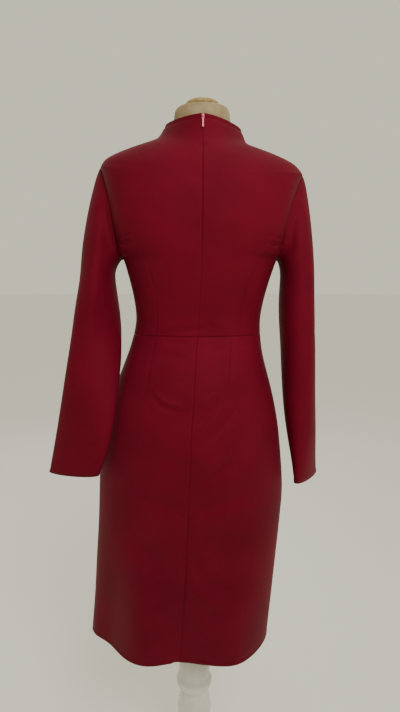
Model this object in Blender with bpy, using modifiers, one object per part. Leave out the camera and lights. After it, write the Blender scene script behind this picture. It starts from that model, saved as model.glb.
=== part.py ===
"""A long-sleeved midi dress with a high funnel collar, on a limbless dress form.

Units are metres and +Z is up.  The origin is on the floor, on the axis of the form's pole.
The dress faces -Y, so its back and its zip are on the +Y side, and its wearer's left is +X.

Every cloth panel is a stretch of one of two closed surfaces, the bodice and the skirt.  A table
gives their cross rows, from the collar's edge down to the hem.  A row has a back half and a
front half, and each half runs from the wearer's right seam through the centre to the left seam.
A place on a half is its level in the table and its distance from the centre line, along the
cloth, which is negative on the wearer's right.
"""

import math
from collections import namedtuple

import bmesh
import bpy
import numpy as np
from mathutils import Matrix, Vector

# ---------------------------------------------------------------- driving dimensions

CLOTH = 0.0014                 # thickness of the dress's fabric
SEAM_GAP = 0.0003              # clearance between pieces that are sewn together
WAIST_Z = 1.060
HEM_Z = 0.402

# One row for each level of the bodice.  back and front are the centre lines, left and right are
# the two side lines: the collar's sides, the shoulder seams, the armholes and the side seams.
# tilt is how much higher the left side line is, and the edge columns say how far the back and
# the front halves keep from each other, which opens the armholes.  square is how square the row
# is: 1 is a rhombus and 2 an ellipse, so the collar has a soft corner at each side.
BodiceRow = namedtuple("BodiceRow", "level centre_x back_y back_z front_y front_z left_x right_x "
                                    "side_z tilt back_edge_y front_edge_y square")
BODICE = [
    BodiceRow(0, -.0184, .0720, 1.465, -.055, 1.462, .0535, -.0920, 1.4575, .008, .010, .010, 1.36),
    BodiceRow(1, -.0184, .0745, 1.447, -.058, 1.444, .0610, -.0980, 1.4440, .009, .010, .010, 1.45),
    BodiceRow(2, -.0182, .0790, 1.420, -.064, 1.412, .0705, -.1050, 1.4305, .011, .008, .008, 1.65),
    BodiceRow(3, -.0180, .0870, 1.402, -.070, 1.390, .0970, -.1290, 1.4230, .011, .004, .004, 1.90),
    BodiceRow(4, -.0178, .0940, 1.384, -.080, 1.368, .1400, -.1700, 1.4090, .012, .000, .000, 2.05),
    BodiceRow(4.7, -.0177, .0975, 1.370, -.087, 1.353, .1730, -.2000, 1.3955, .012, -.002, -.002,
              2.15),
    BodiceRow(5, -.0176, .0990, 1.364, -.090, 1.346, .1810, -.2120, 1.3830, .014, -.003, -.003,
              2.15),
    BodiceRow(6, -.0175, .1010, 1.353, -.095, 1.335, .1785, -.2100, 1.3710, .014, .011, -.015, 2.15),
    BodiceRow(7, -.0175, .1045, 1.332, -.104, 1.314, .1690, -.1985, 1.3430, .012, .029, -.031, 2.15),
    BodiceRow(8, -.0175, .1070, 1.305, -.115, 1.290, .1580, -.1850, 1.3000, .008, .044, -.046, 2.15),
    BodiceRow(9, -.0173, .1070, 1.275, -.126, 1.263, .1505, -.1755, 1.2600, .005, .049, -.056, 2.15),
    BodiceRow(10, -.0168, .1045, 1.247, -.133, 1.238, .1450, -.1695, 1.2310, .003, .041, -.051,
              2.15),
    BodiceRow(11, -.0164, .1020, 1.225, -.135, 1.219, .1415, -.1665, 1.2130, .003, .024, -.030,
              2.15),
    BodiceRow(12, -.0162, .0990, 1.206, -.135, 1.203, .1395, -.1655, 1.2060, .002, .000, .000, 2.15),
    BodiceRow(13, -.0145, .0920, 1.165, -.128, 1.165, .1280, -.1520, 1.1650, .000, .000, .000, 2.15),
    BodiceRow(14, -.0120, .0835, 1.120, -.116, 1.120, .1185, -.1400, 1.1200, .000, .000, .000, 2.15),
    BodiceRow(15, -.0100, .0785, 1.087, -.108, 1.087, .1165, -.1350, 1.0870, .000, .000, .000, 2.15),
    BodiceRow(16, -.0085, .0785, 1.060, -.106, 1.060, .1220, -.1362, 1.0600, .000, .000, .000, 2.15),
]
COLLAR_TOP, SHOULDER, SHOULDER_BEND, SHOULDER_TIP, UNDERARM, WAIST = 0, 4, 4.7, 5, 12, 16
WAIST_CLEARANCE = .01          # levels by which the bodice stops short of the waist seam

# One row for each level of the skirt.  square_x and square_y are the row's two exponents: at the
# hem the cloth is flat across the back and comes to a soft point at each side seam.
SkirtRow = namedtuple("SkirtRow", "z centre_x left_x right_x back_y front_y square_x square_y")
SKIRT = [
    SkirtRow(1.060, -.0085, .1220, -.1362, .0785, -.1060, 2.15, 2.15),
    SkirtRow(1.029, -.0055, .1310, -.1390, .0870, -.1100, 2.15, 2.10),
    SkirtRow(0.996, -.0040, .1440, -.1470, .0985, -.1140, 2.15, 2.10),
    SkirtRow(0.945, -.0015, .1640, -.1610, .1130, -.1170, 2.15, 2.05),
    SkirtRow(0.877, .0030, .1840, -.1750, .1235, -.1170, 2.20, 2.00),
    SkirtRow(0.807, .0060, .1970, -.1830, .1250, -.1120, 2.30, 2.00),
    SkirtRow(0.736, .0090, .2010, -.1880, .1220, -.1070, 2.40, 1.95),
    SkirtRow(0.659, .0125, .2050, -.1840, .1180, -.1030, 2.60, 1.90),
    SkirtRow(0.576, .0165, .2120, -.1770, .1165, -.1010, 2.80, 1.80),
    SkirtRow(0.492, .0220, .2180, -.1700, .1160, -.1000, 3.00, 1.75),
    SkirtRow(HEM_Z, .0280, .2270, -.1620, .1155, -.0990, 3.20, 1.70),
]

# The largest folds, as soft ridges (positive) and troughs (negative) along a line.  A fold's
# reach is how far it fades across the line, and height is how far it stands out.  One that ends
# at the hem deepens all the way down to it.
Fold = namedtuple("Fold", "half x_start z_start x_end z_end reach height")
FOLDS = [
    Fold("back", .100, .838, .010, .812, .016, -.0035),
    Fold("back", -.108, .846, .004, .778, .016, -.0045),
    Fold("back", -.104, .872, .004, .808, .016, .0035),
    Fold("back", .105, .757, .016, .730, .017, -.0035),
    Fold("back", -.112, .762, .004, .732, .017, -.0035),
    Fold("back", -.030, .690, -.090, .540, .028, -.0050),
    Fold("back", .110, .680, .040, .560, .030, -.0040),
    Fold("back", .110, .600, .095, HEM_Z, .035, .0070),
    Fold("back", .155, .640, .190, HEM_Z, .038, -.0420),
    Fold("back", .026, .580, .028, HEM_Z, .040, -.0080),
    Fold("back", -.070, .600, -.088, HEM_Z, .042, .0150),
    Fold("front", .070, .700, .085, HEM_Z, .040, .0060),
    Fold("front", -.045, .700, -.050, HEM_Z, .040, .0060),
    Fold("front", .020, .640, .018, HEM_Z, .030, -.0045),
]
FOLD_FADE = .25                # part of a fold's length over which it fades at its ends
FOLD_OVERRUN = .15             # how far past each end it fades out
HEM_FULL = .9                  # part of a hem fold's length at which it has its full height
BUST_OFFSETS = (.080, -.080)   # from the centre front line
BUST_Z, BUST_REACH, BUST_HEIGHT = 1.232, .048, .016
BUST_TALL = .9                 # how much less the shaping fades upwards than sideways
SIDE_FADE = .5                 # how soon folds fade towards the side seams

# Back vent: the wearer's left panel lies over the right one.
VENT_TOP = .716
VENT_UNDERLAP = .034
VENT_DROP = CLOTH + 6 * SEAM_GAP   # how far behind it that one lies
VENT_START = VENT_TOP + .004   # height at which the right panel is all the way behind
VENT_EASE = .028               # height over which it sinks there
VENT_MIDDLE = VENT_TOP + .018  # a row between the two
VENT_REACH = (-.030, -.004)    # distances from the centre line between which it sinks
VENT_SLOPE = .012              # height of the underlap's slanted top

ARMHOLE_STEPS = 16             # steps from the shoulder to the underarm, on the back or front
ARMHOLE_POINTS = 2 * ARMHOLE_STEPS

# Princess seams of the back: their distance from the centre line, as a part of the row.
PRINCESS_STEP = 11             # the armhole's step at which they leave it
PRINCESS_START = SHOULDER_TIP + PRINCESS_STEP * (UNDERARM - SHOULDER_TIP) / ARMHOLE_STEPS
PRINCESS_CORNER = .02          # levels above it at which the back panels turn in
PrincessPoint = namedtuple("PrincessPoint", "level left right")
PRINCESS = [
    PrincessPoint(PRINCESS_START, .93, .93),
    PrincessPoint(10.2, .78, .78),
    PrincessPoint(11, .62, .66),
    PrincessPoint(12, .53, .58),
    PrincessPoint(13, .49, .50),
    PrincessPoint(14, .49, .49),
    PrincessPoint(16, .50, .51),
]

# Sleeves: tilted ovals below the arm's bend.  half_long and half_short are an oval's half axes
# and turn is the angle of its long axis from +X, counted towards the back.
SleeveRow = namedtuple("SleeveRow", "z x y half_long half_short turn")
SLEEVE_LEFT = [
    SleeveRow(1.175, .1925, .000, .0600, .0335, 90),
    SleeveRow(1.130, .1940, .004, .0600, .0375, 78),
    SleeveRow(1.080, .1935, .012, .0545, .0380, 50),
    SleeveRow(1.017, .1970, .030, .0530, .0330, 14),
    SleeveRow(0.951, .2035, .053, .0572, .0260, -10),
    SleeveRow(0.885, .2125, .067, .0600, .0230, -16),
    SleeveRow(0.817, .2270, .071, .0588, .0200, -17),
    SleeveRow(0.787, .2375, .070, .0535, .0175, -14),
]
SLEEVE_RIGHT = [
    SleeveRow(1.170, -.2080, .000, .0600, .0325, 90),
    SleeveRow(1.111, -.2075, .002, .0590, .0350, 90),
    SleeveRow(1.046, -.2115, .005, .0570, .0345, 88),
    SleeveRow(0.979, -.2147, .006, .0555, .0343, 84),
    SleeveRow(0.911, -.2190, .007, .0540, .0330, 78),
    SleeveRow(0.842, -.2262, .007, .0530, .0285, 70),
    SleeveRow(0.800, -.2315, .006, .0525, .0220, 64),
    SleeveRow(0.757, -.2362, .006, .0520, .0140, 57),
]
CAP_RINGS = 6                  # rings between the armhole and the first oval
ARM_RINGS = 10                 # rings from the first oval to the cuff
CAP_LEAD = .009                # how far a sleeve first runs out of its armhole
CAP_DIP = .35                  # how much it falls on that way
CAP_SHARE = .35                # the most of the cap's length that either end's straight run takes
SLEEVE_GAP = 1.5 * SEAM_GAP    # clearance between an armhole's edge and its sleeve

# Zip: a tape behind the centre back seam, with a slider and a pull tab at the collar.
ZIP_HALF_WIDTH = .008
ZIP_TAPE = .0010
ZIP_DEPTH = CLOTH + 3 * SEAM_GAP   # of the tape's face below the outside of the cloth
ZIP_START = .1                 # level of the tape's top, just under the collar's edge
ZIP_END_Z = .931
SLIDER_Z = 1.4575
SLIDER_LIFT = .0008            # clearance of the slider's flat back from the curved collar
SLIDER_WIDTH, SLIDER_LENGTH, SLIDER_DEPTH = .0050, .0090, .0018
ARCH_RADIUS, ARCH_WIRE = .0019, .0005
BAR_RADIUS = .0004
BAR_LIFT = .0007               # the pull's bar above the slider's face
PULL_WIDTH, PULL_LENGTH, PULL_DEPTH = .0034, .0195, .0008
EYE_WIDTH, EYE_LENGTH = .0018, .0034
EYE_CUT = 3                    # thicknesses of the tab that its eye's cutter is deep
EDGE_ROUNDING = .22            # part of a small box's thinnest side that its edges take

# Dress form: closed ovals, smooth all over and clear of the cloth.
TorsoRow = namedtuple("TorsoRow", "z left_x right_x back_y front_y")
TORSO = [
    TorsoRow(1.4930, .0180, -.0520, .0430, -.0230),
    TorsoRow(1.4908, .0300, -.0640, .0540, -.0340),
    TorsoRow(1.4860, .0370, -.0710, .0600, -.0400),
    TorsoRow(1.4550, .0375, -.0715, .0610, -.0410),
    TorsoRow(1.4300, .0400, -.0740, .0630, -.0440),
    TorsoRow(1.4120, .0560, -.0880, .0660, -.0480),
    TorsoRow(1.3950, .0900, -.1200, .0710, -.0530),
    TorsoRow(1.3780, .1270, -.1540, .0770, -.0590),
    TorsoRow(1.3550, .1480, -.1740, .0840, -.0680),
    TorsoRow(1.3000, .1420, -.1670, .0950, -.0950),
    TorsoRow(1.2500, .1270, -.1540, .0950, -.1170),
    TorsoRow(1.2060, .1240, -.1520, .0900, -.1240),
    TorsoRow(1.1600, .1180, -.1420, .0820, -.1170),
    TorsoRow(1.1100, .1090, -.1300, .0735, -.1040),
    TorsoRow(1.0750, .1080, -.1270, .0700, -.0980),
    TorsoRow(1.0400, .1160, -.1290, .0750, -.1000),
    TorsoRow(1.0000, .1330, -.1380, .0880, -.1060),
    TorsoRow(0.9450, .1550, -.1520, .1030, -.1090),
    TorsoRow(0.8770, .1740, -.1660, .1120, -.1080),
    TorsoRow(0.8300, .1810, -.1710, .1130, -.1040),
    TorsoRow(0.8140, .1770, -.1670, .1090, -.1000),
    TorsoRow(0.8080, .1680, -.1580, .1000, -.0910),
]
TORSO_POINTS = 32
NECK_X, NECK_Y = -.0170, .0100
NECK_BASE_Z = 1.42             # above it the rows are centred on the neck

TURNED_STEPS = 28
CAP_PROFILE = [(.0000, 1.5055), (.0200, 1.5050), (.0290, 1.5025), (.0320, 1.4985), (.0320, 1.4950),
               (.0300, 1.4933), (.0000, 1.4933)]
POLE_PROFILE = [(.0000, .8077), (.0500, .8077), (.0500, .7990), (.0340, .7960), (.0340, .2900),
                (.0375, .2850), (.0395, .2760), (.0375, .2670), (.0300, .2620), (.0285, .2560),
                (.0300, .2490), (.0350, .2330), (.0375, .2100), (.0355, .1850), (.0290, .1600),
                (.0250, .1300), (.0260, .1000), (.0330, .0720), (.0440, .0560), (.0480, .0480),
                (.0480, .0403), (.0000, .0403)]
BASE_PROFILE = [(.0000, .0400), (.0700, .0400), (.0950, .0360), (.1300, .0290), (.1480, .0240),
                (.1540, .0170), (.1550, .0080), (.1530, .0000), (.0000, .0000)]

# Columns of points across a panel.
FRONT_COLUMNS, BACK_COLUMNS, SIDE_BACK_COLUMNS = 19, 9, 6
SKIRT_BACK_COLUMNS, VENT_COLUMNS, TAPE_COLUMNS = 11, 13, 5

# Rows of points down a part of a panel.
YOKE_ROWS, TRUNK_ROWS, SKIRT_ROWS = 7, 6, 17
SEAT_ROWS, VENT_ROWS, HEM_ROWS = 14, 3, 10

DENSE = 61                     # points in half of a row, before it is cut into equal steps
STEP_ALONG = .0012             # small steps for working out which way a surface faces
STEP_DOWN = {"bodice": .03, "skirt": -.003}   # in levels, and in metres


# ---------------------------------------------------------------- tables

def read_table(table, value):
    """Return the table's columns at a value of its first column, on a smooth curve."""
    rows = np.array([list(row) for row in table], dtype=float)
    knots = rows[:, 0]
    sign = 1.0 if knots[-1] > knots[0] else -1.0
    place = min(max(value * sign, knots[0] * sign), knots[-1] * sign)
    index = int(np.searchsorted(knots * sign, place, side="right")) - 1
    index = min(max(index, 0), len(rows) - 2)
    slopes = np.gradient(rows, knots, axis=0)
    width = knots[index + 1] - knots[index]
    u = (place * sign - knots[index]) / width
    start, stop = rows[index], rows[index + 1]
    curve = ((1 + 2 * u) * (1 - u) ** 2 * start + u * (1 - u) ** 2 * width * slopes[index]
             + u * u * (3 - 2 * u) * stop - u * u * (1 - u) * width * slopes[index + 1])
    return type(table[0])(*curve)


def ease(value, low, high):
    """Return 0 below low and 1 above high, with a smooth rise between them."""
    u = np.clip((value - low) / (high - low), 0.0, 1.0)
    return u * u * (3 - 2 * u)


# ---------------------------------------------------------------- surfaces of the dress

def fold_relief(half, x, z):
    """Return how far the folds of one half lift the cloth at each place."""
    lift = np.zeros_like(x)
    for fold in FOLDS:
        if fold.half != half:
            continue
        along = np.array([fold.x_end - fold.x_start, fold.z_end - fold.z_start])
        length = np.hypot(*along)
        along /= length
        offset_x, offset_z = x - fold.x_start, z - fold.z_start
        run = (offset_x * along[0] + offset_z * along[1]) / length
        across = offset_x * along[1] - offset_z * along[0]
        if fold.z_end > HEM_Z:
            taper = (ease(run, -FOLD_OVERRUN, FOLD_FADE)
                     * (1 - ease(run, 1 - FOLD_FADE, 1 + FOLD_OVERRUN)))
        else:
            taper = ease(run, -FOLD_OVERRUN, HEM_FULL)
        lift += fold.height * np.exp(-(across / fold.reach) ** 2) * taper
    return lift


def bust_relief(centre_x, x, z):
    """Return how far the bust shaping lifts the front bodice at each place."""
    lift = np.zeros_like(x)
    for offset in BUST_OFFSETS:
        distance = np.hypot(x - centre_x - offset, (z - BUST_Z) * BUST_TALL)
        lift += BUST_HEIGHT * np.exp(-(distance / BUST_REACH) ** 2)
    return lift


def is_seamed(surface, level):
    """Return whether the front and the back meet at the side lines, as all but armholes do."""
    return surface == "skirt" or level <= SHOULDER_TIP or level >= UNDERARM


def half_row(surface, level, half):
    """Return a row's points from the right seam to the left, and their distances from centre."""
    if surface == "bodice":
        row = read_table(BODICE, level)
        centre_y = row.back_y if half == "back" else row.front_y
        centre_z = row.back_z if half == "back" else row.front_z
        edge_y = row.back_edge_y if half == "back" else row.front_edge_y
        if is_seamed(surface, level):
            edge_y = (row.back_edge_y + row.front_edge_y) / 2
        edge_z = {1: row.side_z + row.tilt / 2, -1: row.side_z - row.tilt / 2}
        power_x = power_y = 2 / row.square
    else:
        row = read_table(SKIRT, level)
        centre_y = row.back_y if half == "back" else row.front_y
        centre_z, edge_y = level, 0.0
        edge_z = {1: level, -1: level}
        power_x, power_y = 2 / row.square_x, 2 / row.square_y
    turn = np.linspace(0, math.pi / 2, DENSE)
    sides = []
    for side, edge_x in ((-1, row.right_x), (1, row.left_x)):
        bend = np.sin(turn) ** power_x
        facing = np.cos(turn).clip(0) ** power_y
        x = row.centre_x + (edge_x - row.centre_x) * bend
        y = edge_y + (centre_y - edge_y) * facing
        z = centre_z + (edge_z[side] - centre_z) * np.sin(turn) ** 2
        lift = fold_relief(half, x, z)
        if surface == "bodice" and half == "front":
            lift = lift + bust_relief(row.centre_x, x, z)
        outward = 1 if half == "back" else -1
        y = y + outward * lift * facing ** SIDE_FADE
        sides.append(np.column_stack([x, y, z]))
    points = np.vstack([sides[0][::-1], sides[1][1:]])
    steps = np.linalg.norm(np.diff(points, axis=0), axis=1)
    distance = np.concatenate([[0.0], np.cumsum(steps)])
    return points, distance - distance[DENSE - 1]


def cloth_place(surface, level, half, away):
    """Return the points of one row at the given distances from its centre line."""
    points, distance = half_row(surface, level, half)
    away = np.clip(away, distance[0], distance[-1])
    return np.column_stack([np.interp(away, distance, points[:, axis]) for axis in range(3)])


def row_lengths(surface, level, half):
    """Return how far a row reaches from its centre line, to the right and to the left."""
    _, distance = half_row(surface, level, half)
    return -distance[0], distance[-1]


def cloth_normals(surface, level, half, away):
    """Return the directions that face out of the cloth at the same places."""
    along = (cloth_place(surface, level, half, away + STEP_ALONG)
             - cloth_place(surface, level, half, away - STEP_ALONG))
    step = STEP_DOWN[surface]
    right, left = row_lengths(surface, level, half)
    scaled = []
    for near in (level - step, level + step):
        near_right, near_left = row_lengths(surface, near, half)
        moved = np.where(away < 0, away * near_right / right, away * near_left / left)
        scaled.append(cloth_place(surface, near, half, moved))
    down = scaled[1] - scaled[0]
    normals = np.cross(along, down)
    if half == "front":
        normals = -normals
    if is_seamed(surface, level):
        at_seam = (away > left - SEAM_GAP) | (away < SEAM_GAP - right)
        normals[at_seam, 1] = 0.0
    return normals / np.linalg.norm(normals, axis=1)[:, None]


def panel_grids(surface, half, levels, start, stop, columns, depth=0.0, thickness=CLOTH):
    """Return the outer and inner grids of a panel between two lines on one surface.

    start and stop are functions of the level.  depth sinks the panel below the surface.
    """
    rows = [np.linspace(start(level), stop(level), columns) for level in levels]
    points = np.array([cloth_place(surface, level, half, away)
                       for level, away in zip(levels, rows)])
    normals = np.array([cloth_normals(surface, level, half, away)
                        for level, away in zip(levels, rows)])
    normals[1:-1] = (normals[:-2] + 2 * normals[1:-1] + normals[2:]) / 4
    normals /= np.linalg.norm(normals, axis=2)[:, :, None]
    sink = np.full(normals.shape[:2] + (1,), depth) if not callable(depth) else np.array(
        [depth(level, away)[:, None] for level, away in zip(levels, rows)])
    return points - normals * sink, points - normals * (sink + thickness)


def seam_line(surface, half, part):
    """Return a function of the level: a distance at a part of the row from -1 to 1.

    It keeps half a seam gap towards the centre of the panel's side.
    """
    def distance(level):
        right, left = row_lengths(surface, level, half)
        reach = right if part < 0 else left
        return part * reach - math.copysign(SEAM_GAP / 2, part)
    return distance


def centre_line(side):
    """Return a function of the level: half a seam gap to one side of the centre line."""
    return lambda level: side * SEAM_GAP / 2


def princess_line(side, shift):
    """Return a function of the level: a princess seam, moved along the row by shift."""
    def distance(level):
        right, left = row_lengths("bodice", level, "back")
        if level < PRINCESS_START:
            return left - SEAM_GAP / 2 if side > 0 else -right + SEAM_GAP / 2
        levels = [point.level for point in PRINCESS]
        parts = [point.left if side > 0 else point.right for point in PRINCESS]
        part = np.interp(level, levels, parts)
        return side * part * (left if side > 0 else right) + shift
    return distance


# ---------------------------------------------------------------- meshes

def make_material(name, colour, roughness, metallic=0.0):
    """Return a plain material for one sub-part."""
    material = bpy.data.materials.new(name)
    material.use_nodes = True
    shader = material.node_tree.nodes["Principled BSDF"]
    shader.inputs["Base Color"].default_value = (*colour, 1.0)
    shader.inputs["Roughness"].default_value = roughness
    shader.inputs["Metallic"].default_value = metallic
    material.diffuse_color = (*colour, 1.0)
    return material


CLOTH_LOOK = ((.145, .005, .012), .75)
THREAD_LOOK = ((.075, .004, .010), .70)
METAL_LOOK = ((.62, .45, .43), .30, 1.0)
FORM_LOOK = ((.40, .33, .20), .85)
KNOB_LOOK = ((.38, .27, .11), .45)
WOOD_LOOK = ((.62, .60, .52), .40)


def add_object(name, mesh, look, collection):
    """Put a mesh in the collection as a named object with its own material."""
    solid = bpy.data.objects.new(name, mesh)
    mesh.materials.append(make_material(name, *look))
    collection.objects.link(solid)
    return solid


def loft_wall(name, outer, inner, round_rows=False):
    """Return a closed mesh between two grids; round_rows joins each row's end to its start."""
    rows, columns = outer.shape[:2]
    points = np.concatenate([outer.reshape(-1, 3), inner.reshape(-1, 3)])
    back = rows * columns
    faces = []
    last = columns if round_rows else columns - 1
    for i in range(rows - 1):
        for j in range(last):
            corners = [i * columns + j, i * columns + (j + 1) % columns,
                       (i + 1) * columns + (j + 1) % columns, (i + 1) * columns + j]
            faces.append(corners)
            faces.append([back + corner for corner in reversed(corners)])
    rims = [[i * columns + j for j in range(columns)] for i in (0, rows - 1)]
    if not round_rows:
        rims += [[i * columns + j for i in range(rows)] for j in (0, columns - 1)]
    for rim in rims:
        pairs = list(zip(rim, rim[1:] + rim[:1])) if round_rows else list(zip(rim, rim[1:]))
        faces += [[a, b, back + b, back + a] for a, b in pairs]
    mesh = bpy.data.meshes.new(name)
    mesh.from_pydata(points.tolist(), [], faces)
    tidy_mesh(mesh)
    return mesh


def tidy_mesh(mesh):
    """Weld a mesh and turn all its faces outwards."""
    editor = bmesh.new()
    editor.from_mesh(mesh)
    bmesh.ops.remove_doubles(editor, verts=editor.verts, dist=1e-6)
    bmesh.ops.recalc_face_normals(editor, faces=editor.faces)
    if editor.calc_volume(signed=True) < 0:
        bmesh.ops.reverse_faces(editor, faces=editor.faces)
    editor.to_mesh(mesh)
    editor.free()


def loft_rings(name, rings):
    """Return a closed mesh through whole rings, with a flat cap at each end."""
    count = len(rings[0])
    faces = [list(range(count)), [(len(rings) - 1) * count + j for j in range(count)]]
    for i in range(len(rings) - 1):
        for j in range(count):
            after = (j + 1) % count
            faces.append([i * count + j, i * count + after,
                          (i + 1) * count + after, (i + 1) * count + j])
    mesh = bpy.data.meshes.new(name)
    mesh.from_pydata([tuple(point) for ring in rings for point in ring], [], faces)
    tidy_mesh(mesh)
    return mesh


def add_turned(name, profile, place, look, collection):
    """Add a solid of revolution: a profile swept round the Z axis."""
    mesh = bpy.data.meshes.new(name)
    edges = [(i, i + 1) for i in range(len(profile) - 1)]
    mesh.from_pydata([(radius, 0.0, z) for radius, z in profile], edges, [])
    solid = add_object(name, mesh, look, collection)
    solid.location = (*place, 0.0)
    screw = solid.modifiers.new("Turn", "SCREW")
    screw.steps = screw.render_steps = TURNED_STEPS
    screw.use_merge_vertices = True
    screw.merge_threshold = 0.0001
    return solid


# ---------------------------------------------------------------- the dress

def spread(start, stop, count):
    """Return evenly spaced levels, both ends included."""
    return list(np.linspace(start, stop, count))


def armhole_levels():
    """Return the levels of the points that the panels and the sleeves share at an armhole."""
    return spread(SHOULDER_TIP, UNDERARM, ARMHOLE_STEPS + 1)


def yoke_levels():
    """Return the levels of the rows from the collar's edge to just above the shoulder tips."""
    return spread(COLLAR_TOP, SHOULDER, YOKE_ROWS) + [SHOULDER_BEND]


def trunk_levels():
    """Return the levels of the rows below the underarm."""
    return spread(UNDERARM, WAIST - WAIST_CLEARANCE, TRUNK_ROWS)[1:]


def build_bodice(collection):
    """Add the front bodice, the two back panels and the two side back panels."""
    yoke, armhole, trunk = yoke_levels(), armhole_levels(), trunk_levels()
    levels = yoke + armhole + trunk
    outer, inner = panel_grids("bodice", "front", levels, seam_line("bodice", "front", -1),
                               seam_line("bodice", "front", 1), FRONT_COLUMNS)
    add_object("bodice_front", loft_wall("bodice_front", outer, inner), CLOTH_LOOK, collection)

    below = armhole[PRINCESS_STEP:] + trunk
    corner = [PRINCESS_START - PRINCESS_CORNER]
    back_levels = yoke + armhole[:PRINCESS_STEP] + corner + below
    for side, word in ((1, "left"), (-1, "right")):
        centre = centre_line(side)
        seam = princess_line(side, -side * SEAM_GAP / 2)
        outer, inner = panel_grids("bodice", "back", back_levels, centre, seam, BACK_COLUMNS)
        name = "bodice_back_" + word
        add_object(name, loft_wall(name, outer, inner), CLOTH_LOOK, collection)
        seam = princess_line(side, side * SEAM_GAP / 2)
        outer, inner = panel_grids("bodice", "back", below, seam,
                                   seam_line("bodice", "back", side), SIDE_BACK_COLUMNS)
        name = "bodice_side_back_" + word
        add_object(name, loft_wall(name, outer, inner), CLOTH_LOOK, collection)


def vent_sink(level, away):
    """Return how far the right back skirt lies behind the surface, to pass under the left."""
    lowered = 1 - ease(level, VENT_START, VENT_START + VENT_EASE)
    near = ease(away, *VENT_REACH)
    return VENT_DROP * lowered * near


def vent_edge(level):
    """Return the right back skirt's centre edge, which runs on behind the left in the vent."""
    inside = 1 - ease(level, VENT_TOP - VENT_SLOPE, VENT_TOP)
    return -SEAM_GAP / 2 + (VENT_UNDERLAP + SEAM_GAP) * inside


def skirt_back_levels():
    """Return the heights of the back skirts' rows, which are close together at the vent's top."""
    return (spread(WAIST_Z - SEAM_GAP, VENT_START + VENT_EASE, SEAT_ROWS)
            + spread(VENT_MIDDLE, VENT_TOP, VENT_ROWS)
            + spread(VENT_TOP - VENT_SLOPE, HEM_Z, HEM_ROWS))


def build_skirt(collection):
    """Add the front skirt and the two back skirts with the vent between them."""
    levels = spread(WAIST_Z - SEAM_GAP, HEM_Z, SKIRT_ROWS)
    outer, inner = panel_grids("skirt", "front", levels, seam_line("skirt", "front", -1),
                               seam_line("skirt", "front", 1), FRONT_COLUMNS)
    add_object("skirt_front", loft_wall("skirt_front", outer, inner), CLOTH_LOOK, collection)
    levels = skirt_back_levels()
    outer, inner = panel_grids("skirt", "back", levels, centre_line(1),
                               seam_line("skirt", "back", 1), SKIRT_BACK_COLUMNS)
    add_object("skirt_back_left", loft_wall("skirt_back_left", outer, inner),
               CLOTH_LOOK, collection)
    outer, inner = panel_grids("skirt", "back", levels, seam_line("skirt", "back", -1),
                               vent_edge, VENT_COLUMNS, depth=vent_sink)
    add_object("skirt_back_right", loft_wall("skirt_back_right", outer, inner),
               CLOTH_LOOK, collection)


def armhole_loop(side):
    """Return an armhole's points from the shoulder, down the back and up the front.

    With them come the directions that face out of the bodice and into the armhole.
    """
    down = armhole_levels()
    stops = [("back", level) for level in down] + [("front", level) for level in down[-2:0:-1]]
    points, faces_out = [], []
    for half, level in stops:
        right, left = row_lengths("bodice", level, half)
        edge = np.array([left if side > 0 else -right])
        points.append(cloth_place("bodice", level, half, edge)[0])
        faces_out.append(cloth_normals("bodice", level, half, edge)[0])
    points, faces_out = np.array(points), np.array(faces_out)
    tangent = np.roll(points, -1, axis=0) - np.roll(points, 1, axis=0)
    into = np.cross(faces_out, tangent)
    into /= np.linalg.norm(into, axis=1)[:, None]
    if into[ARMHOLE_STEPS][2] < 0:
        into = -into
    return points, into


def sleeve_oval(table, z, side, counts):
    """Return a sleeve's level ring, starting on its outer side and turning towards the back."""
    row = read_table(table, z)
    turn = math.radians(row.turn)
    if side < 0:
        turn = math.pi - turn
    angle = np.linspace(0, 2 * math.pi, counts, endpoint=False) - turn
    along, across = row.half_long * np.cos(angle), row.half_short * np.sin(angle)
    x = along * math.cos(turn) - across * math.sin(turn)
    y = along * math.sin(turn) + across * math.cos(turn)
    return np.column_stack([row.x + side * x, row.y + y, np.full(counts, z)])


def sleeve_rings(side):
    """Return a sleeve's outer rings from the armhole to the cuff."""
    table = SLEEVE_LEFT if side > 0 else SLEEVE_RIGHT
    edge, into = armhole_loop(side)
    start = edge + into * SLEEVE_GAP
    target = sleeve_oval(table, table[0].z, side, ARMHOLE_POINTS)
    lead = np.array([side, 0.0, -CAP_DIP]) / math.hypot(1, CAP_DIP)
    length = np.linalg.norm(target - start, axis=1)[:, None]
    first = start + lead * np.minimum(CAP_LEAD, length * CAP_SHARE)
    second = target + np.array([0, 0, 1]) * length * CAP_SHARE
    rings = []
    for u in np.linspace(0, 1, CAP_RINGS + 1):
        rings.append((1 - u) ** 3 * start + 3 * u * (1 - u) ** 2 * first
                     + 3 * u * u * (1 - u) * second + u ** 3 * target)
    for z in np.linspace(table[0].z, table[-1].z, ARM_RINGS + 1)[1:]:
        rings.append(sleeve_oval(table, z, side, ARMHOLE_POINTS))
    return np.array(rings), into


def build_sleeve(side, name, collection):
    """Add one sleeve as a tube from its armhole to its open cuff."""
    outer, into = sleeve_rings(side)
    round_way = np.roll(outer, -1, axis=1) - np.roll(outer, 1, axis=1)
    down_way = np.gradient(outer, axis=0)
    inward = np.cross(round_way, down_way)
    inward /= np.linalg.norm(inward, axis=2)[:, :, None]
    middle = outer.mean(axis=1, keepdims=True)
    if ((middle - outer) * inward).sum() < 0:
        inward = -inward
    inward[0] += into
    inward[0] /= np.linalg.norm(inward[0], axis=1)[:, None]
    inner = outer + inward * CLOTH
    add_object(name, loft_wall(name, outer, inner, round_rows=True), CLOTH_LOOK, collection)


# ---------------------------------------------------------------- the zip

def tape_edge(side):
    """Return a function of the level: one edge of the zip's tape."""
    return lambda level: side * ZIP_HALF_WIDTH


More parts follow.
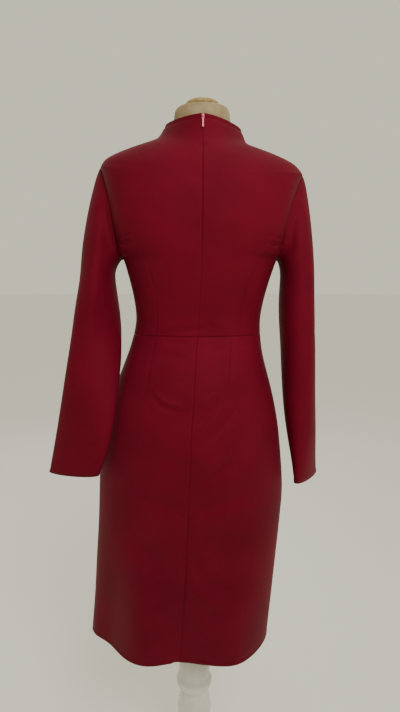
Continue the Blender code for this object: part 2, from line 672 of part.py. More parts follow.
def build_zip_tape(collection):
    """Add the zip's tape, which follows the back panels on their inner side."""
    bodice = [ZIP_START] + yoke_levels()[1:] + armhole_levels()[::2] + trunk_levels()
    skirt = [level for level in skirt_back_levels()[1:] if level > ZIP_END_Z] + [ZIP_END_Z]
    grids = [panel_grids(surface, "back", levels, tape_edge(-1), tape_edge(1), TAPE_COLUMNS,
                         ZIP_DEPTH, ZIP_TAPE)
             for surface, levels in (("bodice", bodice), ("skirt", skirt))]
    outer = np.concatenate([grid[0] for grid in grids])
    inner = np.concatenate([grid[1] for grid in grids])
    add_object("zip_tape", loft_wall("zip_tape", outer, inner), THREAD_LOOK, collection)


def slider_frame():
    """Return the matrix of the slider: +Y out of the collar, +Z up along it, on its face."""
    level = np.interp(-SLIDER_Z, [-row.back_z for row in BODICE], [row.level for row in BODICE])
    centre = np.array([0.0])
    place = Vector(cloth_place("bodice", level, "back", centre)[0])
    outward = Vector(cloth_normals("bodice", level, "back", centre)[0])
    side = Vector((1, 0, 0))
    outward = (outward - side * outward.dot(side)).normalized()
    up = side.cross(outward)
    turn = Matrix((side, outward, up)).transposed().to_4x4()
    return Matrix.Translation(place + outward * (SLIDER_LIFT + SLIDER_DEPTH)) @ turn


def box_mesh(name, size, centre):
    """Return a box with slightly rounded edges."""
    editor = bmesh.new()
    placing = Matrix.Translation(centre) @ Matrix.Diagonal((*size, 1.0))
    bmesh.ops.create_cube(editor, size=1.0, matrix=placing)
    rounding = min(size) * EDGE_ROUNDING
    bmesh.ops.bevel(editor, geom=editor.edges[:], offset=rounding, segments=2, profile=0.5,
                    affect="EDGES", material=-1)
    mesh = bpy.data.meshes.new(name)
    editor.to_mesh(mesh)
    editor.free()
    return mesh


def combine(solid, mesh, operation):
    """Join a mesh to a solid, or cut it out, with an exact boolean."""
    tool = bpy.data.objects.new(solid.name + "_tool", mesh)
    bpy.context.scene.collection.objects.link(tool)
    boolean = solid.modifiers.new("Combine", "BOOLEAN")
    boolean.operation, boolean.solver, boolean.object = operation, "EXACT", tool
    bpy.context.view_layer.update()
    evaluated = solid.evaluated_get(bpy.context.evaluated_depsgraph_get())
    result = bpy.data.meshes.new_from_object(evaluated)
    solid.modifiers.clear()
    solid.data = result
    bpy.data.objects.remove(tool)


def ring_mesh(name, radius, wire, steps=20, sides=10):
    """Return a small ring in the YZ plane."""
    editor = bmesh.new()
    circle = bmesh.ops.create_circle(editor, cap_ends=False, radius=wire, segments=sides,
                                     matrix=Matrix.Translation((0, radius, 0)))
    bmesh.ops.spin(editor, geom=circle["verts"] + editor.edges[:], cent=(0, 0, 0), axis=(1, 0, 0),
                   angle=2 * math.pi, steps=steps, use_merge=True)
    bmesh.ops.recalc_face_normals(editor, faces=editor.faces)
    mesh = bpy.data.meshes.new(name)
    editor.to_mesh(mesh)
    editor.free()
    return mesh


def build_slider(collection):
    """Add the zip's slider and, under its arch, the pull tab with its bar as the joint axis."""
    frame = slider_frame()
    body = box_mesh("zip_slider", (SLIDER_WIDTH, SLIDER_DEPTH, SLIDER_LENGTH),
                    (0, -SLIDER_DEPTH / 2, 0))
    slider = add_object("zip_slider", body, METAL_LOOK, collection)
    combine(slider, ring_mesh("arch", ARCH_RADIUS, ARCH_WIRE), "UNION")
    slider.matrix_world = frame

    plate = box_mesh("zip_pull", (PULL_WIDTH, PULL_DEPTH, PULL_LENGTH),
                     (0, 0, BAR_RADIUS - PULL_LENGTH / 2))
    pull = add_object("zip_pull", plate, METAL_LOOK, collection)
    eye_centre = -BAR_RADIUS - EYE_LENGTH / 2
    editor = bmesh.new()
    bmesh.ops.create_cube(editor, size=1.0, matrix=Matrix.Translation((0, 0, eye_centre))
                          @ Matrix.Diagonal((EYE_WIDTH, PULL_DEPTH * EYE_CUT, EYE_LENGTH, 1.0)))
    eye = bpy.data.meshes.new("eye")
    editor.to_mesh(eye)
    editor.free()
    combine(pull, eye, "DIFFERENCE")
    pull.matrix_world = frame @ Matrix.Translation((0, BAR_LIFT, 0))


# ---------------------------------------------------------------- the dress form

def build_form(collection):
    """Add the form's torso with its neck, the cap, the turned pole and the round base."""
    angle = np.linspace(0, 2 * math.pi, TORSO_POINTS, endpoint=False)
    rings = []
    for row in TORSO:
        centre_x = (row.left_x + row.right_x) / 2
        half_x = (row.left_x - row.right_x) / 2
        middle_y = NECK_Y if row.z > NECK_BASE_Z else 0.0
        depth = np.where(np.sin(angle) > 0, row.back_y - middle_y, middle_y - row.front_y)
        rings.append(np.column_stack([centre_x + half_x * np.cos(angle),
                                      middle_y + depth * np.sin(angle),
                                      np.full(TORSO_POINTS, row.z)]))
    add_object("form_torso", loft_rings("form_torso", rings), FORM_LOOK, collection)
    add_turned("form_cap", CAP_PROFILE, (NECK_X, NECK_Y), KNOB_LOOK, collection)
    add_turned("form_pole", POLE_PROFILE, (0.0, 0.0), WOOD_LOOK, collection)
    add_turned("form_base", BASE_PROFILE, (0.0, 0.0), WOOD_LOOK, collection)


def main():
    """Clear the scene and build the dress and its form in their own collection."""
    for old in list(bpy.data.objects):
        bpy.data.objects.remove(old, do_unlink=True)
    collection = bpy.data.collections.new("midi_dress_on_form")
    bpy.context.scene.collection.children.link(collection)
    build_bodice(collection)
    build_skirt(collection)
    build_sleeve(1, "sleeve_left", collection)
    build_sleeve(-1, "sleeve_right", collection)
    build_zip_tape(collection)
    build_slider(collection)
    build_form(collection)


main()
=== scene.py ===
"""Looks of a long-sleeved midi dress with a funnel collar, on its limbless dress form.

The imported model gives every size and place.  Each cloth panel here is a thin shell that is grown
from the outer face of its own solid, made finer, creased along the lines of the tables below and
given its edge.  The form's torso is smoothed from its solid.  Its cap, pole and base are turned
about the axes of theirs.
"""

import logging
import math
from dataclasses import dataclass, field
from enum import Enum

import bmesh
import bpy
import numpy as np
from mathutils import Matrix, Vector
from mathutils.bvhtree import BVHTree
from mathutils.kdtree import KDTree


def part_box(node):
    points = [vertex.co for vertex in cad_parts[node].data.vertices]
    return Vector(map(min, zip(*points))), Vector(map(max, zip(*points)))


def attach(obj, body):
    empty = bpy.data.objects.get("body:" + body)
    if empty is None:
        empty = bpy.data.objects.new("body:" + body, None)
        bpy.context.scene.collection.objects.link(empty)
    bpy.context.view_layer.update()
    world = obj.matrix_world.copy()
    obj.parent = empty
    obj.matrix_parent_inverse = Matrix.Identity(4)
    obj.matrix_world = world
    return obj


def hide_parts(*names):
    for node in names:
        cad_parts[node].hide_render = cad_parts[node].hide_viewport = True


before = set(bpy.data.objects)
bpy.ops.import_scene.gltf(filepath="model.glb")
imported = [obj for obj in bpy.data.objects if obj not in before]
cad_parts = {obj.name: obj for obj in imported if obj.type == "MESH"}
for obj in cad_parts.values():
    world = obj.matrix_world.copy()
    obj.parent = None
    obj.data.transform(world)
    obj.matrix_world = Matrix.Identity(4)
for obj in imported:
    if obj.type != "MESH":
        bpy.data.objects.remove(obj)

LOG = logging.getLogger("dress")
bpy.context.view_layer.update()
BODY = "dress_on_form"
MERGE = 1e-5                    # distance within which points are one


def add_object(name: str, shape: bmesh.types.BMesh) -> bpy.types.Object:
    """Turn a shape into a mesh and put it in the scene.

    Args:
        name: the name of the mesh and of its object.
        shape: the shape, which is freed.

    Returns:
        The new object.
    """
    mesh = bpy.data.meshes.new(name)
    shape.to_mesh(mesh)
    shape.free()
    new = bpy.data.objects.new(name, mesh)
    bpy.context.scene.collection.objects.link(new)
    return new


def add_light(light: bpy.types.Light, way: Vector) -> bpy.types.Object:
    """Put a light in the scene.

    Args:
        light: the light.
        way: the direction from what it lights back to it.

    Returns:
        The light's object, turned but not yet moved.
    """
    lamp = bpy.data.objects.new(light.name, light)
    bpy.context.scene.collection.objects.link(lamp)
    lamp.rotation_mode = "QUATERNION"
    lamp.rotation_quaternion = way.to_track_quat("Z", "Y")
    return lamp


# ---------------------------------------------------------------- colours and shader nodes

def colour(code: str) -> tuple[float, float, float, float]:
    """Turn an sRGB hex code into linear light.

    Args:
        code: six hex digits, with or without a leading hash.

    Returns:
        Red, green, blue and alpha, linear.
    """
    digits = code.lstrip("#")
    parts = [int(digits[i:i + 2], 16) / 255 for i in (0, 2, 4)]
    linear = [p / 12.92 if p <= 0.04045 else ((p + 0.055) / 1.055) ** 2.4 for p in parts]
    return (*linear, 1.0)


def add_node(material: bpy.types.Material, kind: str, links: dict | None = None,
             **settings) -> bpy.types.Node:
    """Add a shader node with its settings, socket values and incoming links.

    Args:
        material: the material to add to.
        kind: the node's Blender type name.
        links: input name or index to an output socket, or to a plain value.
        settings: attributes of the node.

    Returns:
        The new node.
    """
    node = material.node_tree.nodes.new(kind)
    for name, value in settings.items():
        setattr(node, name, value)
    for name, source in (links or {}).items():
        if isinstance(source, bpy.types.NodeSocket):
            material.node_tree.links.new(source, node.inputs[name])
        else:
            node.inputs[name].default_value = source
    return node


def ramp(material: bpy.types.Material, factor: bpy.types.NodeSocket,
         stops: list[tuple[float, str]]) -> bpy.types.NodeSocket:
    """Add a colour ramp.

    Args:
        material: the material to add to.
        factor: the socket that drives the ramp.
        stops: places from 0 to 1 with their hex colours.

    Returns:
        The ramp's colour socket.
    """
    node = add_node(material, "ShaderNodeValToRGB", {"Fac": factor})
    elements = node.color_ramp.elements
    while len(elements) < len(stops):
        elements.new(0.5)
    for element, (place, code) in zip(elements, stops):
        element.position = place
        element.color = colour(code)
    return node.outputs["Color"]


@dataclass(frozen=True)
class Finish:
    """A finish: its name and the values of its shader that are the same all over."""

    name: str
    roughness: float
    metallic: float = 0.0
    sheen: float = 0.0
    sheen_tint: str = "ffffff"
    coat: float = 0.0
    specular: float = 0.5
    specular_tint: str = "ffffff"

    def start(self) -> tuple[bpy.types.Material, bpy.types.Node, bpy.types.NodeSocket]:
        """Make the material and its shader.

        Returns:
            The material, its Principled shader and the Object coordinates.
        """
        material = bpy.data.materials.new(self.name)
        material.use_nodes = True
        shader = material.node_tree.nodes["Principled BSDF"]
        shader.inputs["Roughness"].default_value = self.roughness
        shader.inputs["Metallic"].default_value = self.metallic
        shader.inputs["Sheen Weight"].default_value = self.sheen
        shader.inputs["Sheen Tint"].default_value = colour(self.sheen_tint)
        shader.inputs["Sheen Roughness"].default_value = 0.45
        shader.inputs["Coat Weight"].default_value = self.coat
        shader.inputs["Specular IOR Level"].default_value = self.specular
        shader.inputs["Specular Tint"].default_value = colour(self.specular_tint)
        places = add_node(material, "ShaderNodeTexCoord").outputs["Object"]
        return material, shader, places

    @staticmethod
    def join(material: bpy.types.Material, shader: bpy.types.Node, tone: bpy.types.NodeSocket,
             height: bpy.types.NodeSocket | None = None, strength: float = 0.0,
             relief_mm: float = 0.0) -> None:
        """Join a tone, and a relief where there is one, to the shader.

        Args:
            material: the material.
            shader: its Principled shader.
            tone: the socket of its colour.
            height: the socket of its relief.
            strength: how much of the relief shows.
            relief_mm: the relief's height.
        """
        material.node_tree.links.new(tone, shader.inputs["Base Color"])
        if height is not None:
            bump = add_node(material, "ShaderNodeBump", {"Height": height, "Strength": strength,
                                                         "Distance": relief_mm / 1000})
            material.node_tree.links.new(bump.outputs["Normal"], shader.inputs["Normal"])


@dataclass(frozen=True)
class Crepe(Finish):
    """Stretch crepe: a dull, dense, springy knit-backed cloth with a pebbled face."""

    light: str = "7c0a1c"
    dark: str = "6a0716"
    pebble_mm: float = 1.1
    mottle_mm: float = 90.0
    relief_mm: float = 0.10

    def material(self) -> bpy.types.Material:
        """Return the finished material."""
        material, shader, places = self.start()
        # The face is a fine random pebble; the real one is under half a millimetre, so it is
        # drawn coarser here to show at all, and it only breaks up the sheen.
        pebble = add_node(material, "ShaderNodeTexNoise",
                          {"Vector": places, "Scale": 1000 / self.pebble_mm, "Detail": 3.0,
                           "Roughness": 0.6})
        mottle = add_node(material, "ShaderNodeTexNoise",
                          {"Vector": places, "Scale": 1000 / self.mottle_mm, "Detail": 4.0,
                           "Roughness": 0.55})
        mixed = add_node(material, "ShaderNodeMath", {0: pebble.outputs["Fac"], 1: 0.35},
                         operation="MULTIPLY")
        total = add_node(material, "ShaderNodeMath", {0: mottle.outputs["Fac"],
                                                      1: mixed.outputs[0]}, operation="ADD")
        tone = ramp(material, total.outputs[0], [(0.35, self.dark), (0.95, self.light)])
        self.join(material, shader, tone, pebble.outputs["Fac"], 0.35, self.relief_mm)
        return material


@dataclass(frozen=True)
class Linen(Finish):
    """Plain woven linen, stretched and glued over the form: even threads with slubs."""

    light: str = "b39f7b"
    dark: str = "8f7b57"
    thread_mm: float = 0.6
    relief_mm: float = 0.08

    def material(self) -> bpy.types.Material:
        """Return the finished material."""
        material, shader, places = self.start()
        waves = []
        for axis in ("X", "Z"):
            # One wave is one thread; crossing sets of them make the weave.
            waves.append(add_node(material, "ShaderNodeTexWave",
                                  {"Vector": places, "Scale": 1000 / self.thread_mm / 20,
                                   "Distortion": 1.2, "Detail": 2.0, "Detail Scale": 1.5},
                                  bands_direction=axis).outputs["Fac"])
        weave = add_node(material, "ShaderNodeMath", {0: waves[0], 1: waves[1]},
                         operation="MULTIPLY")
        stain = add_node(material, "ShaderNodeTexNoise",
                         {"Vector": places, "Scale": 28.0, "Detail": 6.0, "Roughness": 0.65})
        share = add_node(material, "ShaderNodeMath", {0: weave.outputs[0], 1: 0.12},
                         operation="MULTIPLY")
        total = add_node(material, "ShaderNodeMath", {0: stain.outputs["Fac"],
                                                      1: share.outputs[0]}, operation="ADD")
        tone = ramp(material, total.outputs[0], [(0.35, self.dark), (0.85, self.light)])
        self.join(material, shader, tone, weave.outputs[0], 0.5, self.relief_mm)
        return material


@dataclass(frozen=True)
class Wood(Finish):
    """Wood with grain along the turned axis, waxed, or painted with the grain just showing."""

    light: str = "b89a5c"
    dark: str = "8a6a34"
    grain_mm: float = 5.0
    relief_mm: float = 0.15

    def material(self) -> bpy.types.Material:
        """Return the finished material."""
        material, shader, places = self.start()
        stretched = add_node(material, "ShaderNodeMapping",
                             {"Vector": places, "Scale": (1.0, 1.0, 0.12)})
        grain = add_node(material, "ShaderNodeTexNoise",
                         {"Vector": stretched.outputs[0], "Scale": 1000 / self.grain_mm,
                          "Detail": 5.0, "Roughness": 0.6, "Distortion": 0.3})
        wear = add_node(material, "ShaderNodeTexNoise", {"Vector": places, "Scale": 14.0,
                                                         "Detail": 3.0})
        total = add_node(material, "ShaderNodeMixRGB", {"Fac": 0.4, "Color1": grain.outputs["Fac"],
                                                        "Color2": wear.outputs["Fac"]})
        tone = ramp(material, total.outputs[0], [(0.36, self.dark), (0.62, self.light)])
        self.join(material, shader, tone, grain.outputs["Fac"], 0.3, self.relief_mm)
        return material


@dataclass(frozen=True)
class Metal(Finish):
    """Small die-cast zip parts, enamelled to match, with a fine random mottle of lighter enamel.
    """

    light: str = "b8686c"
    dark: str = "7a2028"
    scratch_mm: float = 0.8

    def material(self) -> bpy.types.Material:
        """Return the finished material."""
        material, shader, places = self.start()
        scratch = add_node(material, "ShaderNodeTexNoise",
                           {"Vector": places, "Scale": 1000 / self.scratch_mm, "Detail": 4.0})
        tone = ramp(material, scratch.outputs["Fac"], [(0.3, self.dark), (0.6, self.light)])
        self.join(material, shader, tone)
        return material


CREPE = Crepe("stretch_crepe_dyed_deep_red", roughness=0.68, sheen=0.04, sheen_tint="d86478",
              specular=0.20, specular_tint="f07888", light="6c0d22", dark="5a0a1a")
TAPE = Crepe("woven_polyester_zip_tape", roughness=0.8, light="5e0c16", dark="4a0810",
             pebble_mm=0.9, mottle_mm=30.0, specular=0.2)
LINEN = Linen("linen_stretched_on_form", roughness=0.9, sheen=0.1, specular=0.2)
WAXED = Wood("waxed_beech_neck_cap", roughness=0.45)
PAINTED = Wood("turned_beech_painted_white", roughness=0.42, light="f2efe2", dark="e6e2d2",
               grain_mm=9.0, coat=0.15)
COIL = Crepe("nylon_zip_coil_dyed_to_match", roughness=0.5, light="6a0e1a", dark="4e0a12",
             pebble_mm=0.7, mottle_mm=8.0, relief_mm=0.02)
ZIP_METAL = Metal("enamelled_zip_alloy", roughness=0.35, metallic=0.85)


# ---------------------------------------------------------------- creases

class Facing(Enum):
    """The side of a piece that a crease is on: the axis it is seen along, and which way."""

    BACK = (1, 1)
    FRONT = (1, -1)
    RIGHT = (0, -1)


@dataclass(frozen=True)
class Crease:
    """A soft trough or ridge along a line.

    path holds places as seen along the facing: across and up, in metres.  Height is negative
    for a trough.  lips is how much cloth rises beside a trough, as a part of its depth.
    """

    facing: Facing
    path: tuple[tuple[float, float], ...]
    reach: float
    height: float
    lips: float = 0.35
    fade: float = 0.35

    LIP_FALL = 1.6                 # how soon the lips rise and fade across the line
    TURNED_AWAY, TURNED_TO = 0.05, 0.45   # share of a normal along the facing: none, all
    CURVE_STEPS = 6                # steps between two places of the path

    def lift(self, points: np.ndarray, normals: np.ndarray) -> np.ndarray:
        """Work out how far the crease moves each point along its normal.

        Args:
            points: the places of the cloth's points.
            normals: the directions that they face.

        Returns:
            One distance for each point, in metres.
        """
        axis, way = self.facing.value
        across = 0 if axis == 1 else 1
        seen = points[:, (across, 2)]
        closest = np.full(len(points), np.inf)
        along = np.zeros(len(points))
        path = self.smooth_path()
        steps = np.linalg.norm(np.diff(path, axis=0), axis=1)
        total = steps.sum()
        run = np.concatenate([[0.0], np.cumsum(steps)])
        for i, (start, step) in enumerate(zip(path[:-1], steps)):
            way_on = (path[i + 1] - start) / step
            reach_on = np.clip((seen - start) @ way_on, 0.0, step)
            gap = np.linalg.norm(seen - start - reach_on[:, None] * way_on, axis=1)
            closer = gap < closest
            closest[closer] = gap[closer]
            along[closer] = (run[i] + reach_on[closer]) / total
        q = closest / self.reach
        shape = np.exp(-q * q) * (1 - self.lips * q * q * self.LIP_FALL)
        ends = smooth_step(along, 0.0, self.fade) * (1 - smooth_step(along, 1 - self.fade, 1.0))
        seen_share = smooth_step(normals[:, axis] * way, self.TURNED_AWAY, self.TURNED_TO)
        return self.height * shape * ends * seen_share

    def smooth_path(self) -> np.ndarray:
        """Return the path with a soft curve through its places."""
        places = np.array(self.path, dtype=float)
        if len(places) < 3:
            return places
        last = len(places) - 1
        fine = np.linspace(0, last, self.CURVE_STEPS * last + 1)
        slopes = np.gradient(places, axis=0)
        curve = []
        for value in fine:
            i = min(int(value), last - 1)
            u = value - i
            curve.append((1 + 2 * u) * (1 - u) ** 2 * places[i] + u * (1 - u) ** 2 * slopes[i]
                         + u * u * (3 - 2 * u) * places[i + 1] - u * u * (1 - u) * slopes[i + 1])
        return np.array(curve)


def smooth_step(value: np.ndarray, low: float, high: float) -> np.ndarray:
    """Return 0 below low and 1 above high, with a smooth rise between them."""
    u = np.clip((value - low) / (high - low), 0.0, 1.0)
    return u * u * (3 - 2 * u)


B, F, R = Facing.BACK, Facing.FRONT, Facing.RIGHT
BACK_BODICE_CREASES = (
    # Small pockets where the zip tape pulls the centre back.
    Crease(B, ((-.030, 1.407), (-.004, 1.404)), .007, -.0014),
    Crease(B, ((-.032, 1.347), (-.006, 1.344)), .008, -.0010),
    # The cloth that gathers in the small of the back, above the waist seam.
    Crease(B, ((.082, 1.070), (.045, 1.080), (.004, 1.092)), .0075, .0018),
    Crease(B, ((.044, 1.067), (.004, 1.072), (-.036, 1.080)), .0075, -.0016),
    Crease(B, ((-.020, 1.098), (-.060, 1.080), (-.088, 1.071)), .009, .0012),
)
BACK_SKIRT_CREASES = (
    # The two darts below the waist seam, with the dimple at each tip.  The right one is twisted
    # and shows a second line.
    Crease(B, ((.0735, 1.058), (.083, 1.005), (.0925, .958)), .0034, -.0011, .3, .12),
    Crease(B, ((.0920, .962), (.0935, .946)), .0050, -.0016, .4, .5),
    Crease(B, ((-.0760, 1.058), (-.0715, 1.000), (-.0685, .946)), .0032, -.0012, .3, .12),
    Crease(B, ((-.0700, 1.050), (-.0662, .990), (-.0640, .950)), .0030, .0007, .2, .2),
    Crease(B, ((-.0690, .952), (-.0655, .934)), .0050, -.0018, .4, .5),
    # Bands under the waist seam.
    Crease(B, ((.072, 1.050), (.030, 1.049), (-.004, 1.046)), .006, -.0016),
    Crease(B, ((.070, 1.026), (.034, 1.021), (.002, 1.024)), .008, -.0018),
    Crease(B, ((-.020, 1.032), (-.050, 1.034), (-.075, 1.040)), .009, -.0010),
    # Drag lines that fall from the hips to the centre seam, over the seat.
    Crease(B, ((.088, .975), (.056, .943), (.020, .934), (.006, .932)), .0065, .0020),
    Crease(B, ((.086, .962), (.056, .931), (.006, .922)), .006, -.0018),
    Crease(B, ((-.058, .932), (-.026, .896), (-.002, .858)), .008, .0022),
    Crease(B, ((-.094, .944), (-.060, .899), (-.012, .855)), .010, -.0022),
    Crease(B, ((-.056, .955), (-.020, .909), (.000, .893)), .008, -.0020),
    Crease(B, ((-.049, .966), (-.018, .934), (-.004, .922)), .006, .0014),
    # The smiles below the seat.
    Crease(B, ((.060, .836), (.036, .826), (.012, .822)), .008, -.0015),
    Crease(B, ((-.090, .838), (-.044, .802), (.003, .778)), .010, -.0022),
    Crease(B, ((-.106, .762), (-.044, .741), (.003, .734)), .012, -.0018),
    Crease(B, ((.102, .758), (.052, .737), (.016, .730)), .012, -.0018),
    # The long soft folds of the lower skirt.
    Crease(B, ((.006, .716), (-.040, .700), (-.070, .680)), .016, .0022),
    Crease(B, ((.004, .668), (-.018, .590), (-.072, .548)), .016, -.0034),
    Crease(B, ((.008, .580), (-.024, .538), (-.070, .532)), .014, .0022),
    Crease(B, ((.120, .680), (.090, .640), (.052, .600)), .022, -.0024),
)
FRONT_BODICE_CREASES = (
    Crease(F, ((-.150, 1.250), (-.120, 1.262), (-.094, 1.262)), .010, -.0020),
    Crease(F, ((.122, 1.258), (.098, 1.266), (.068, 1.262)), .010, -.0018),
    Crease(F, ((-.120, 1.160), (-.092, 1.180), (-.070, 1.186)), .010, -.0016),
    Crease(F, ((.098, 1.165), (.072, 1.184), (.046, 1.186)), .009, -.0016),
    Crease(F, ((.084, 1.074), (.030, 1.082), (-.018, 1.076)), .007, -.0020),
    Crease(F, ((-.110, 1.076), (-.064, 1.084), (-.030, 1.094)), .007, .0018),
    Crease(F, ((-.050, 1.236), (-.018, 1.226), (.016, 1.238)), .012, -.0018),
)
FRONT_SKIRT_CREASES = (
    Crease(F, ((-.110, 1.036), (-.050, 1.026), (.010, 1.034)), .008, -.0018),
    Crease(F, ((.095, 1.030), (.040, 1.012), (.000, 1.014)), .009, -.0016),
    Crease(F, ((.140, .900), (.080, .862), (.020, .852)), .014, -.0022),
    Crease(F, ((-.130, .890), (-.070, .850), (-.020, .842)), .013, -.0020),
    Crease(F, ((-.120, .780), (-.060, .752), (.000, .748)), .014, -.0018),
    Crease(F, ((.120, .720), (.080, .640), (.060, .540)), .020, -.0026),
    Crease(F, ((-.030, .700), (-.020, .600), (-.040, .480)), .022, -.0028),
)
LEFT_SLEEVE_CREASES = (
    # The hollow beside the armhole, and the soft roll that runs down the sleeve from it.
    Crease(B, ((.172, 1.320), (.162, 1.255), (.150, 1.205)), .013, -.0075, 0),
    Crease(B, ((.182, 1.340), (.184, 1.220), (.200, 1.080), (.214, .960)), .013, .0032, .2),
    Crease(B, ((.204, 1.200), (.214, 1.090), (.232, .980)), .014, -.0016, 0),
    Crease(B, ((.150, 1.130), (.176, 1.108), (.206, 1.104)), .011, -.0009),
    Crease(B, ((.160, 1.020), (.200, 1.008), (.240, 1.022)), .012, -.0007),
    Crease(F, ((.150, 1.180), (.176, 1.150), (.210, 1.142)), .010, -.0026),
    Crease(F, ((.148, 1.100), (.180, 1.070), (.220, 1.066)), .011, -.0030),
    Crease(F, ((.160, 1.030), (.196, 1.012), (.236, 1.020)), .011, -.0024),
    Crease(F, ((.190, .930), (.220, .910), (.250, .916)), .012, -.0014),
)
RIGHT_SLEEVE_CREASES = (
    Crease(B, ((-.200, 1.320), (-.188, 1.255), (-.178, 1.205)), .013, -.0075, 0),
    Crease(B, ((-.176, 1.110), (-.205, 1.092), (-.236, 1.098)), .010, -.0009),
    Crease(B, ((-.214, .930), (-.222, .890), (-.226, .850)), .009, -.0014),
    Crease(B, ((-.222, 1.340), (-.230, 1.180), (-.236, 1.000), (-.242, .840)), .011, .0030, .2),
    Crease(F, ((-.180, 1.180), (-.206, 1.150), (-.238, 1.146)), .010, -.0024),
    Crease(F, ((-.178, 1.090), (-.204, 1.062), (-.240, 1.060)), .011, -.0028),
    Crease(F, ((-.184, 1.010), (-.210, .994), (-.240, 1.004)), .011, -.0022),
    Crease(R, ((-.050, 1.080), (.000, 1.060), (.050, 1.070)), .012, -.0016),
)


# ---------------------------------------------------------------- cloth

@dataclass
class ClothPanel:
    """One sewn panel: a thin shell grown from the outer face of its own solid."""

    node: str
    flat: tuple[float, float]
    area: float
    creases: tuple[Crease, ...] = ()
    fineness: int = 3
    is_tube: bool = False
    thickness: float = 0.0011
    skin: bpy.types.Mesh | None = field(default=None, repr=False)

    SHARP_DEG = 55.0               # an edge sharper than this bounds a side of the wall
    QUAD_DEG, QUAD_SHAPE_DEG = 40.0, 60.0   # limits for joining triangles into quads
    LEVEL = 0.03                   # half height of the slice whose middle is a tube's axis
    RELAX_ROUNDS = 36
    RELAX_IN, RELAX_OUT = 0.50, -0.52   # each round evens the skin, then gives back its size
    SEAM_REACH, SEAM_DEPTH = 0.0030, 0.0004
    CLOSE_REACH = 0.0040
    EDGE_ROLL, EDGE_ROLL_REACH = 0.0005, 0.0028
    EDGE_LINE, EDGE_LINE_AT, EDGE_LINE_REACH = 0.0008, 0.0072, 0.0026

    def grow(self) -> None:
        """Take the outer face of the solid and make it fine and smooth."""
        shape = bmesh.new()
        shape.from_mesh(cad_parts[self.node].data)
        bmesh.ops.remove_doubles(shape, verts=shape.verts, dist=MERGE)
        outer = self.outer_faces(shape)
        inside = [face for face in shape.faces if face.index not in outer]
        bmesh.ops.delete(shape, geom=inside, context="FACES")
        bmesh.ops.join_triangles(shape, faces=shape.faces,
                                 angle_face_threshold=math.radians(self.QUAD_DEG),
                                 angle_shape_threshold=math.radians(self.QUAD_SHAPE_DEG))
        carrier = add_object(self.node + "_skin", shape)
        finer = carrier.modifiers.new("Finer", "SUBSURF")
        finer.levels = finer.render_levels = self.fineness
        finer.boundary_smooth = "PRESERVE_CORNERS"
        bpy.context.view_layer.update()
        graph = bpy.context.evaluated_depsgraph_get()
        self.skin = bpy.data.meshes.new_from_object(carrier.evaluated_get(graph))
        bpy.data.objects.remove(carrier)
        self.relax()

    def relax(self) -> None:
        """Even out the skin between its edges, without drawing it in."""
        points = self.places()
        pairs = np.zeros(len(self.skin.edges) * 2, dtype=int)
        self.skin.edges.foreach_get("vertices", pairs)
        first, second = pairs.reshape(-1, 2).T
        ends, others = np.concatenate((first, second)), np.concatenate((second, first))
        count = np.bincount(ends, minlength=len(points))[:, None]
        moves = np.ones((len(points), 1))
        moves[np.unique(self.rim())] = 0.0
        for _ in range(self.RELAX_ROUNDS):
            for step in (self.RELAX_IN, self.RELAX_OUT):
                total = np.stack([np.bincount(ends, points[others, axis], len(points))
                                  for axis in range(3)], axis=1)
                points = points + moves * step * (total / count - points)
        self.skin.vertices.foreach_set("co", points.ravel())
        self.skin.update()

    def outer_faces(self, shape: bmesh.types.BMesh) -> set[int]:
        """Find the faces of the wall's outer side.

        Args:
            shape: the merged mesh of the solid.

        Returns:
            The indices of the faces that look away from the body or the arm.
        """
        shape.faces.ensure_lookup_table()
        island: dict[int, int] = {}
        groups: list[list[bmesh.types.BMFace]] = []
        limit = math.radians(self.SHARP_DEG)
        for seed in shape.faces:
            if seed.index in island:
                continue
            island[seed.index] = len(groups)
            group, waiting = [], [seed]
            while waiting:
                face = waiting.pop()
                group.append(face)
                for edge in face.edges:
                    if len(edge.link_faces) != 2 or edge.calc_face_angle() > limit:
                        continue
                    for near in edge.link_faces:
                        if near.index not in island:
                            island[near.index] = len(groups)
                            waiting.append(near)
            groups.append(group)
        groups.sort(key=lambda group: -sum(face.calc_area() for face in group))
        best = max(groups[:2], key=self.looks_out)
        return {face.index for face in best}

    def looks_out(self, group: list[bmesh.types.BMFace]) -> float:
        """Return how far a group of faces looks away from the middle of the body or arm."""
        centres = np.array([face.calc_center_median() for face in group])
        normals = np.array([face.normal for face in group])
        areas = np.array([face.calc_area() for face in group])
        middle = np.zeros((len(group), 3))
        if self.is_tube:
            for i, centre in enumerate(centres):
                level = np.abs(centres[:, 2] - centre[2]) < self.LEVEL
                middle[i] = centres[level].mean(axis=0)
        away = (centres - middle) * (1, 1, 0)
        return float(((away * normals).sum(axis=1) * areas).sum())

    def places(self) -> np.ndarray:
        """Return the places of the skin's points."""
        values = np.zeros(len(self.skin.vertices) * 3)
        self.skin.vertices.foreach_get("co", values)
        return values.reshape(-1, 3)

    def rim(self) -> np.ndarray:
        """Return the pairs of point indices that make the skin's free edges."""
        uses = np.zeros(len(self.skin.edges), dtype=int)
        loops = np.zeros(len(self.skin.loops), dtype=int)
        self.skin.loops.foreach_get("edge_index", loops)
        np.add.at(uses, loops, 1)
        pairs = np.zeros(len(self.skin.edges) * 2, dtype=int)
        self.skin.edges.foreach_get("vertices", pairs)
        return pairs.reshape(-1, 2)[uses == 1]

